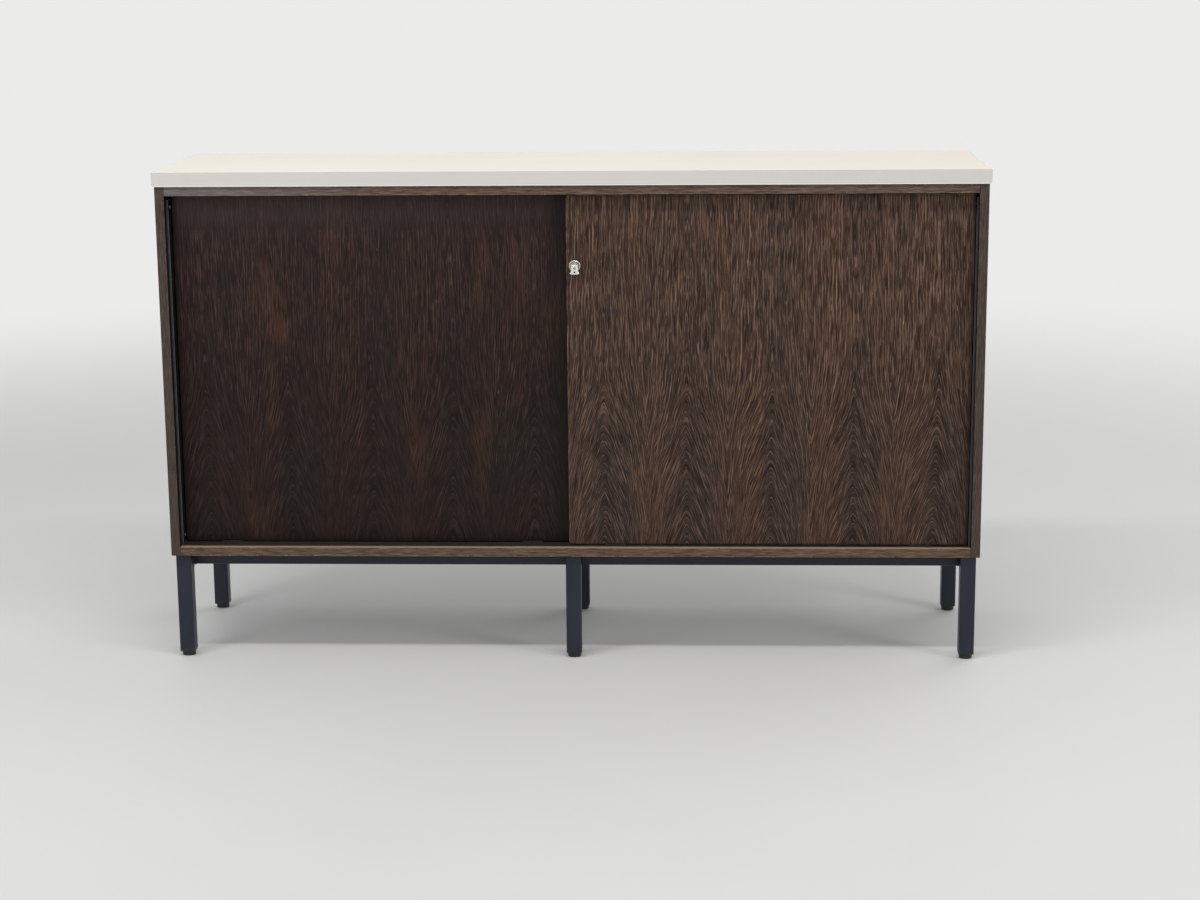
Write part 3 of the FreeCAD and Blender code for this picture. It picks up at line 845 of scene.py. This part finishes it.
# The stop strips' pale edge line is a painted highlight of light on their edges.
STRIP_PAINT = Paint(roughness=0.34, colour=(0.006, 0.006, 0.006), dusty=(0.012, 0.012, 0.013),
                    bare_and_highlight=(0.17, 0.17, 0.175), wear=0.7, pale_edge=(0.10, 0.28), gloss=0.12)
FOOT_PLASTIC = Plastic(roughness=0.50, colour=(0.006, 0.006, 0.007), scuffed=(0.022, 0.022, 0.022))
TRACK_PLASTIC = Plastic(roughness=0.44, colour=(0.026, 0.020, 0.017), scuffed=(0.070, 0.060, 0.052),
                        skin_along_x=3.0)
RUNNER_PLASTIC = Plastic(roughness=0.42, colour=(0.60, 0.57, 0.52), scuffed=(0.36, 0.33, 0.29))
NICKEL = Metal(roughness=0.20)
DISHED_NICKEL = Metal(roughness=0.20, recess=0.0012)
ZINC = Metal(roughness=0.33, colour=(0.66, 0.66, 0.64), tarnish=(0.36, 0.35, 0.32))
BEECH = BareWood(roughness=0.60)


def add_piece(name: str, shape: bmesh.types.BMesh, body: str, finish: Finish,
              replaced: tuple[str, ...] = ()) -> None:
    """Turn a shape into a piece of the object.

    Args:
        name: The piece's name.
        shape: Its mesh, which is used up.
        body: The body that it moves with.
        finish: The finish that it wears.
        replaced: The frame's nodes that it stands for.
    """
    bmesh.ops.recalc_face_normals(shape, faces=shape.faces)
    for face in shape.faces:
        face.smooth = True
    corners = [vert.co.copy() for vert in shape.verts]
    mesh = bpy.data.meshes.new(name)
    shape.to_mesh(mesh)
    shape.free()
    mesh.set_sharp_from_angle(angle=SHARP_ANGLE)
    mesh.materials.append(finish.material(name + "_finish", box_of(corners)))
    piece = bpy.data.objects.new(name, mesh)
    bpy.context.scene.collection.objects.link(piece)
    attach(piece, body)
    if replaced:
        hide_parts(*replaced)
    log.info("built %s", name)


def box_of(points: list[Vector]) -> Box:
    """The lowest and highest corner of some points."""
    return (Vector([min(axis) for axis in zip(*points)]), Vector([max(axis) for axis in zip(*points)]))


def solids_of(node: bpy.types.Object) -> list[Box]:
    """The box of each separate solid in a node.

    Args:
        node: The frame's node.

    Returns:
        The boxes, in order of place.
    """
    shape = bmesh.new()
    shape.from_mesh(node.data)
    bmesh.ops.remove_doubles(shape, verts=shape.verts, dist=SAME_POINT)
    waiting = set(shape.verts)
    boxes = []
    while waiting:
        front = [waiting.pop()]
        found = []
        while front:
            vert = front.pop()
            found.append(vert.co.copy())
            for edge in vert.link_edges:
                other = edge.other_vert(vert)
                if other in waiting:
                    waiting.remove(other)
                    front.append(other)
        boxes.append(box_of(found))
    shape.free()
    return sorted(boxes, key=lambda box: [round(part, 5) for part in box[0]])


def ring(shape: bmesh.types.BMesh, radius: float, height: float, sides: int) -> list[bmesh.types.BMVert]:
    """A ring of points about the Z axis."""
    turns = [math.tau * index / sides for index in range(sides)]
    return [shape.verts.new((radius * math.cos(turn), radius * math.sin(turn), height)) for turn in turns]


def skin(shape: bmesh.types.BMesh, rings: list[list[bmesh.types.BMVert]]) -> None:
    """Join each ring to the next one with faces."""
    for first, second in zip(rings, rings[1:]):
        for index in range(len(first)):
            after = (index + 1) % len(first)
            shape.faces.new((first[index], first[after], second[after], second[index]))


@dataclass(frozen=True)
class CrossScrews:
    """Screws with a cross recess, in the places of one node's plain screws."""

    node: str
    facing: Facing
    shank: float
    head_height: float = 0.0
    sides: int = 24
    arm_share: float = 0.64
    arm_width_share: float = 0.17
    recess_share: float = 0.55
    recess_taper: float = 0.6
    head_round: float = 0.12

    def build(self, nodes: dict[str, bpy.types.Object]) -> None:
        """Shape all the screws of the node as one piece of the carcass.

        Args:
            nodes: The frame's nodes.
        """
        shape = bmesh.new()
        for low, high in solids_of(nodes[self.node]):
            one = bmesh.new()
            place, radius, length = self._place(low, high)
            self._shape(one, radius, length)
            one.transform(place)
            mesh = bpy.data.meshes.new("screw")
            one.to_mesh(mesh)
            one.free()
            shape.from_mesh(mesh)
            bpy.data.meshes.remove(mesh)
        add_piece(self.node + "_crossed", shape, "carcass", ZINC, (self.node,))

    def _place(self, low: Vector, high: Vector) -> tuple[Matrix, float, float]:
        """Where one screw sits.

        Args:
            low: The lowest corner of its box.
            high: The highest corner of its box.

        Returns:
            The placing of its head, the head's radius and the screw's length.
        """
        middle = (low + high) / 2
        way = Vector(self.facing.value)
        if self.facing is Facing.INWARD and middle.x < 0:
            way.negate()
        size = high - low
        length = abs(size.dot(way))
        radius = max(extent for extent, part in zip(size, way) if not part) / 2
        turn = way.to_track_quat("Z", "Y").to_matrix().to_4x4()
        return Matrix.Translation(middle + way * (length / 2)) @ turn, radius, length

    def _shape(self, shape: bmesh.types.BMesh, radius: float, length: float) -> None:
        """Add one screw, with its head's face at the origin and its shank below.

        Args:
            shape: The mesh that it joins.
            radius: The head's radius.
            length: The screw's length.
        """
        shank = self.shank / 2
        steps = [(radius, 0.0), (shank, shank - radius)]
        if self.head_height:
            steps = [(radius * (1 - self.head_round), 0.0), (radius, -radius * self.head_round),
                     (radius, -self.head_height), (shank, -self.head_height)]
        steps.append((shank, 2 * shank - length))
        rings = [ring(shape, size, height, self.sides) for size, height in steps]
        skin(shape, rings)
        tip = shape.verts.new((0.0, 0.0, -length))
        for index in range(self.sides):
            shape.faces.new((rings[-1][index], rings[-1][(index + 1) % self.sides], tip))
        reach = radius * self.arm_share
        half = radius * self.arm_width_share
        quarter = [(half, reach), (half, half), (reach, half)]
        outline = []
        for _ in range(4):
            outline += quarter
            quarter = [(y, -x) for x, y in quarter]
        top = [shape.verts.new((x, y, 0.0)) for x, y in outline]
        depth = radius * self.recess_share
        taper = self.recess_taper
        floor = [shape.verts.new((x * taper, y * taper, -depth)) for x, y in outline]
        rim = [shape.edges.get(pair) for pair in zip(rings[0], rings[0][1:] + rings[0][:1])]
        mouth = [shape.edges.new(pair) for pair in zip(top, top[1:] + top[:1])]
        bmesh.ops.triangle_fill(shape, edges=rim + mouth, use_beauty=True)
        skin(shape, [top, floor])
        shape.faces.new(floor)


@dataclass
class Assembly:
    """A group of the frame's nodes with the finish that each one wears."""

    nodes: dict[str, bpy.types.Object]
    finishes: dict[str, Finish] = field(default_factory=dict)

    def wear(self, finish: Finish, *names: str) -> None:
        """Choose the finish of some nodes."""
        self.finishes.update(dict.fromkeys(names, finish))

    def build(self) -> None:
        """Add the shapes that the frame leaves plain; none here."""

    def dress(self) -> None:
        """Give each node a material of its own."""
        for name, finish in self.finishes.items():
            mesh = self.nodes[name].data
            mesh.materials.clear()
            mesh.materials.append(finish.material(name + "_finish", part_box(name)))
            log.info("dressed %s", name)


@dataclass
class Carcass(Assembly):
    """The boards, the pale top and what holds them together."""

    def __post_init__(self) -> None:
        """Choose the finish of every board and fixing."""
        self.wear(SLAB_LAMINATE, "top_slab")
        self.wear(SIDE_BOARD, "left_side_panel", "right_side_panel")
        self.wear(TOP_BOARD, "carcass_top_panel")
        self.wear(BOTTOM_BOARD, "carcass_bottom_panel")
        self.wear(BACK_BOARD, "back_panel")
        self.wear(INNER_UPRIGHT, "centre_partition")
        self.wear(INNER_BOARD, "left_shelf", "right_shelf")
        self.wear(BEECH, "corner_dowels", "partition_dowels")
        self.wear(ZINC, "shelf_pins", "top_slab_screws", "back_panel_screws")

    def build(self) -> None:
        """Add the screws of the top and the back."""
        CrossScrews("top_slab_screws", Facing.DOWN, shank=0.004).build(self.nodes)
        CrossScrews("back_panel_screws", Facing.REAR, shank=0.003).build(self.nodes)


@dataclass
class Doors(Assembly):
    """The two sliding doors with their tracks, runners and stop strips."""

    lip_reach: float = 0.0088
    lip_height: float = 0.0007
    lip_steps: int = 6

    def __post_init__(self) -> None:
        """Choose the finish of the doors and of all that they run on and against."""
        self.wear(REAR_DOOR, "left_door")
        self.wear(FRONT_DOOR, "right_door")
        self.wear(TRACK_PLASTIC, "bottom_track", "top_track")
        for side in SIDES:
            self.wear(RUNNER_PLASTIC, side + "_door_glides", side + "_door_guides")
            self.wear(STRIP_PAINT, side + "_stop_strip")
        self.wear(ZINC, "stop_strip_screws")

    def build(self) -> None:
        """Add the screws of the stop strips and the front lip of the lower track."""
        CrossScrews("stop_strip_screws", Facing.INWARD, shank=0.0035).build(self.nodes)
        low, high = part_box("bottom_track")
        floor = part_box("carcass_bottom_panel")[1].z
        shape = bmesh.new()
        ends = []
        for x in (low.x, high.x):
            profile = [(low.y, floor)]
            for step in range(self.lip_steps + 1):
                angle = math.pi / 2 * step / self.lip_steps
                front = self.lip_height * (1.0 - math.sin(angle)) - self.lip_reach
                profile.append((low.y + front, floor + self.lip_height * (1.0 - math.cos(angle))))
            profile.reverse()
            profile.append((low.y, floor + self.lip_height))
            ends.append([shape.verts.new((x, y, z)) for y, z in profile])
        skin(shape, ends)
        for end in ends:
            shape.faces.new(end)
        add_piece("bottom_track_lip", shape, "carcass", TRACK_PLASTIC)


@dataclass
class Lock(Assembly):
    """The lock, its cam and the folding key."""

    # How far each step over the rim lies inside the rosette's edge and behind its front.
    rim_steps: tuple[tuple[float, float], ...] = (
        (0.0026, 0.0013), (0.0021, 0.0011), (0.0019, 0.0004), (0.0015, 0.0001), (0.0011, 0.0),
        (0.0006, 0.0001), (0.0002, 0.0004), (0.0, 0.0009))
    bore: float = 0.0101
    barrel: float = 0.0159
    thread_pitch: float = 0.001
    thread_depth: float = 0.0004
    thread_land: float = 0.0001
    sides: int = 72
    bow_top_width: float = 0.014
    bow_rise: float = 0.0035
    bow_flare_start: float = 0.008
    bow_foot_sag: float = 0.0016
    bow_slot: float = 0.0044
    bow_slot_drop: float = 0.006
    bow_hole: float = 0.0035
    bow_hole_drop: float = 0.0115
    bow_edge: float = 0.0006
    bow_edge_steps: int = 3
    bow_flare_steps: int = 8
    bow_foot_steps: int = 7
    bow_hole_steps: int = 8
    bow_rim_turn: float = 1.0

    def __post_init__(self) -> None:
        """Choose the finish of every part of the lock."""
        self.wear(NICKEL, "lock_housing", "lock_plug", "key_shank", "key_hinge_pin", "key_bow")
        self.wear(ZINC, "lock_ring_nut", "lock_cam", "cam_screw", "strike_peg")

    def build(self) -> None:
        """Add the dished rosette and the key's rounded bow."""
        self._housing()
        self._bow()

    def _axis(self) -> tuple[float, float]:
        """The X and Z of the lock's axis."""
        low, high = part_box("lock_housing")
        return (low.x + high.x) / 2, (low.z + high.z) / 2

    def _housing(self) -> None:
        """A rosette with a raised rim round a dish, and its threaded barrel."""
        low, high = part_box("lock_housing")
        x, z = self._axis()
        radius = (high.x - low.x) / 2
        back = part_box("right_door")[0].y
        profile = [(self.bore / 2, low.y + self.rim_steps[0][1])]
        profile += [(radius - inside, low.y + behind) for inside, behind in self.rim_steps]
        profile.append((radius, back))
        root = self.barrel / 2 - self.thread_depth
        for turn in range(int((high.y - back) / self.thread_pitch)):
            start = back + turn * self.thread_pitch
            profile.append((root, start + self.thread_land))
            profile.append((self.barrel / 2, start + self.thread_pitch / 2))
        profile += [(root, high.y), (self.bore / 2, high.y)]
        shape = bmesh.new()
        rings = [ring(shape, size, -place, self.sides) for size, place in profile]
        skin(shape, rings + rings[:1])
        shape.transform(Matrix.Translation((x, 0.0, z)) @ Matrix.Rotation(math.pi / 2, 4, "X"))
        add_piece("lock_rosette", shape, "right_door", DISHED_NICKEL, ("lock_housing",))

    def _bow(self) -> None:
        """The bow: two cheeks, a waist with the ring hole and a flared foot, all edges eased."""
        low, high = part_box("key_bow")
        x, z = self._axis()
        half_top = self.bow_top_width / 2
        half_foot = (high.x - low.x) / 2
        foot = low.z - z + self.bow_foot_sag
        slot = self.bow_slot / 2
        outline = [(slot, -self.bow_slot_drop), (slot, self.bow_rise), (half_top, self.bow_rise)]
        for step in range(self.bow_flare_steps + 1):
            share = step / self.bow_flare_steps
            outline.append((half_top + (half_foot - half_top) * share ** 2,
                            -self.bow_flare_start + (foot + self.bow_flare_start) * share))
        for step in range(1, self.bow_foot_steps):
            share = 1 - step / self.bow_foot_steps
            outline.append((half_foot * share, foot - self.bow_foot_sag * (1 - share ** 2)))
        shape = bmesh.new()
        hole = self.bow_hole / 2
        middle = [low.z - z, -self.bow_hole_drop - hole, -self.bow_hole_drop + hole, -self.bow_slot_drop]
        shared = [shape.verts.new((x, low.y, z + up)) for up in middle]
        faces = []
        for side in (1.0, -1.0):
            edge = [shape.verts.new((x + side * across, low.y, z + up)) for across, up in outline]
            arc = []
            for step in range(1, self.bow_hole_steps):
                angle = math.pi * step / self.bow_hole_steps
                arc.append(shape.verts.new((x + side * hole * math.sin(angle), low.y,
                                            z - self.bow_hole_drop - hole * math.cos(angle))))
            faces.append(shape.faces.new(edge + shared[:2] + arc + shared[2:]))
        grown = bmesh.ops.extrude_face_region(shape, geom=faces, use_keep_orig=True)["geom"]
        moved = [item for item in grown if isinstance(item, bmesh.types.BMVert)]
        bmesh.ops.translate(shape, verts=moved, vec=(0.0, high.y - low.y, 0.0))
        bmesh.ops.recalc_face_normals(shape, faces=shape.faces)
        rims = []
        for edge in shape.edges:
            level = abs(edge.verts[0].co.y - edge.verts[1].co.y) < SAME_POINT
            if level and edge.calc_face_angle(0.0) > self.bow_rim_turn:
                rims.append(edge)
        bmesh.ops.bevel(shape, geom=rims, offset=self.bow_edge, segments=self.bow_edge_steps, profile=0.5,
                        affect="EDGES")
        add_piece("key_bow_eased", shape, "key_bow", NICKEL, ("key_bow",))


@dataclass
class SteelBase(Assembly):
    """The six legs with their feet, and the rails under the carcass."""

    columns: tuple[str, ...] = ("left", "middle", "right")
    rows: tuple[str, ...] = ("front", "rear")
    bead: float = 0.0032
    bead_steps: int = 48
    bead_sides: int = 4
    bead_ripples: int = 16
    bead_ripple: float = 0.20

    def __post_init__(self) -> None:
        """Choose the finish of every tube and foot."""
        for column in self.columns:
            self.wear(FRAME_PAINT, column + "_cross_rail")
            for row in self.rows:
                self.wear(FRAME_PAINT, f"{row}_{column}_leg")
                self.wear(FOOT_PLASTIC, f"{row}_{column}_foot")
        for row in self.rows:
            self.wear(FRAME_PAINT, *[f"{row}_{side}_rail" for side in SIDES])
        self.wear(ZINC, "frame_screws")

    def build(self) -> None:
        """Add the weld beads and the screws of the rails."""
        CrossScrews("frame_screws", Facing.DOWN, shank=0.005, head_height=0.003).build(self.nodes)
        shape = bmesh.new()
        for column in self.columns:
            low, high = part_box(column + "_cross_rail")
            for y, way in ((low.y, 1.0), (high.y, -1.0)):
                self._bead(shape, Vector((low.x, y, low.z)), Vector((high.x, y, low.z)),
                           Vector((0.0, way, 0.0)), Vector((0.0, 0.0, -1.0)))
        for row in self.rows:
            for side in SIDES:
                low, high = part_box(f"{row}_{side}_rail")
                for x, way in ((low.x, 1.0), (high.x, -1.0)):
                    for y, out in ((low.y, -1.0), (high.y, 1.0)):
                        self._bead(shape, Vector((x, y, low.z)), Vector((x, y, high.z)),
                                   Vector((way, 0.0, 0.0)), Vector((0.0, out, 0.0)))
        add_piece("weld_beads", shape, "carcass", FRAME_PAINT)

    def _bead(self, shape: bmesh.types.BMesh, start: Vector, end: Vector, first: Vector,
              second: Vector) -> None:
        """A rippled bead in the corner between two faces.

        Args:
            shape: The mesh that it joins.
            start: One end of the corner.
            end: The other end.
            first: The way the first face leads off the corner.
            second: The way the second face leads off it.
        """
        rows = []
        for step in range(self.bead_steps + 1):
            share = step / self.bead_steps
            wave = abs(math.sin(share * math.pi * self.bead_ripples))
            size = self.bead * (1.0 - self.bead_ripple + self.bead_ripple * wave)
            corner = start.lerp(end, share)
            arc = [corner]
            for part in range(self.bead_sides + 1):
                angle = math.pi / 2 * part / self.bead_sides
                arc.append(corner + first * (size * math.cos(angle)) + second * (size * math.sin(angle)))
            rows.append([shape.verts.new(point) for point in arc])
        skin(shape, rows)
        shape.faces.new(rows[0])
        shape.faces.new(rows[-1])


@dataclass
class Lamp:
    """A soft rectangular lamp that looks at a point."""

    name: str
    place: tuple[float, float, float]
    target: tuple[float, float, float]
    width: float
    depth: float
    watts: float
    colour: Colour = (1.0, 1.0, 1.0)

    def build(self) -> None:
        """Hang the lamp."""
        data = bpy.data.lights.new(self.name, "AREA")
        data.shape = "RECTANGLE"
        data.size = self.width
        data.size_y = self.depth
        data.energy = self.watts
        data.color = self.colour
        lamp = bpy.data.objects.new(self.name, data)
        lamp.location = self.place
        aim = Vector(self.target) - Vector(self.place)
        lamp.rotation_euler = aim.to_track_quat("-Z", "Y").to_euler()
        bpy.context.scene.collection.objects.link(lamp)


@dataclass
class Studio:
    """A pale round floor that fades into a pale backdrop, soft lamps and the camera."""

    floor_colour: Colour = (0.70, 0.695, 0.68)
    backdrop: Colour = (0.83, 0.83, 0.825)
    floor_radius: float = 40.0
    floor_rings: int = 12
    floor_sides: int = 96
    floor_drop: float = 0.0002
    floor_roughness: float = 0.55
    floor_gloss: float = 0.25
    floor_paler: float = 1.06
    floor_clouds: float = 1.3
    cloud_roughness: float = 0.15
    fade_from: float = 1.9
    fade_to: float = 5.0
    sky: Colour = (0.97, 0.985, 1.0)
    sky_strength: float = 0.58
    camera_place: tuple[float, float, float] = (0.2464, -4.6624, 1.3925)
    pitch_deg: float = 12.212
    yaw_deg: float = 2.452
    roll_deg: float = -0.483
    focal_pixels: float = 2350.2
    view_end: float = 100.0
    lamps: list[Lamp] = field(default_factory=lambda: [
        Lamp("overhead", (-0.5, -1.65, 3.4), (-0.5, -0.2, 0.9), 3.6, 0.3, 53.0, (1.0, 0.985, 0.955)),
        Lamp("right_window", (5.0, -3.2, 2.6), (0.0, -0.2, 0.6), 1.6, 1.6, 74.0),
        Lamp("rear_window", (4.4, 4.6, 3.4), (0.0, 0.2, 0.6), 3.8, 2.6, 64.0),
        Lamp("left_window", (-2.1, -1.9, 1.8), (-0.8, -0.2, 0.95), 0.9, 0.9, 8.0, (0.84, 0.92, 1.0)),
    ])

    def build(self) -> None:
        """Set up the whole studio."""
        self._floor()
        for lamp in self.lamps:
            lamp.build()
        self._sky()
        self._camera()

    def _floor(self) -> None:
        """One round sheet, whose far part shows the backdrop's colour."""
        shape = bmesh.new()
        rings = []
        for step in range(1, self.floor_rings + 1):
            radius = self.floor_radius * (step / self.floor_rings) ** 2
            rings.append(ring(shape, radius, -self.floor_drop, self.floor_sides))
        skin(shape, rings)
        shape.faces.new(rings[0])
        mesh = bpy.data.meshes.new("studio_floor")
        shape.to_mesh(mesh)
        shape.free()
        graph = Graph("studio_floor_finish")
        spot = Spot(graph, box_of([vert.co for vert in mesh.vertices]), *graph.place())
        cloud = spot.even_noise(self.floor_clouds, 3.0)
        paler = tuple(part * self.floor_paler for part in self.floor_colour)
        paper = graph.node("ShaderNodeBsdfPrincipled", inputs={
            "Base Color": graph.mix(cloud, self.floor_colour, paler),
            "Roughness": cloud * self.cloud_roughness + self.floor_roughness,
            "Specular IOR Level": self.floor_gloss})
        glow = graph.node("ShaderNodeEmission", inputs={"Color": self.backdrop, "Strength": 1.0})
        far = (spot.x * spot.x + spot.y * spot.y).root().rise(self.fade_from, self.fade_to)
        shaders = {0: graph.seen() * far, 1: paper, 2: glow}
        mesh.materials.append(graph.finish(graph.node("ShaderNodeMixShader", inputs=shaders)))
        floor = bpy.data.objects.new("studio_floor", mesh)
        bpy.context.scene.collection.objects.link(floor)

    def _sky(self) -> None:
        """An even light from all around, with the backdrop where it is looked at."""
        graph = Graph("studio_sky", world=True)
        light = graph.node("ShaderNodeBackground", inputs={"Color": self.sky, "Strength": self.sky_strength})
        view = graph.node("ShaderNodeBackground", inputs={"Color": self.backdrop, "Strength": 1.0})
        mixed = graph.node("ShaderNodeMixShader", inputs={0: graph.seen(), 1: light, 2: view})
        bpy.context.scene.world = graph.finish(mixed)

    def _camera(self) -> None:
        """The camera at the photograph's place and angle."""
        data = bpy.data.cameras.new("camera")
        data.sensor_width = SENSOR_WIDTH
        data.lens = self.focal_pixels * SENSOR_WIDTH / IMAGE_WIDTH
        data.clip_end = self.view_end
        camera = bpy.data.objects.new("camera", data)
        level = Matrix(((1.0, 0.0, 0.0), (0.0, 0.0, -1.0), (0.0, 1.0, 0.0)))
        turn = (Matrix.Rotation(math.radians(self.roll_deg), 3, "Z")
                @ Matrix.Rotation(math.radians(self.pitch_deg), 3, "X")
                @ Matrix.Rotation(math.radians(self.yaw_deg), 3, "Y") @ level)
        turn = turn.transposed() @ Matrix.Diagonal((1.0, -1.0, -1.0))
        camera.matrix_world = Matrix.Translation(self.camera_place) @ turn.to_4x4()
        bpy.context.scene.collection.objects.link(camera)
        bpy.context.scene.camera = camera


def main() -> None:
    """Load the frame, dress each sub-assembly and set up the studio."""
    logging.basicConfig(level=logging.INFO, format="%(name)s: %(message)s")
    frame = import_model()
    nodes = frame["nodes"]
    for assembly in (Carcass(nodes), Doors(nodes), Lock(nodes), SteelBase(nodes)):
        assembly.build()
        assembly.dress()
    Studio().build()
    bpy.context.scene.view_settings.view_transform = "Standard"


if __name__ == "__main__":
    main()
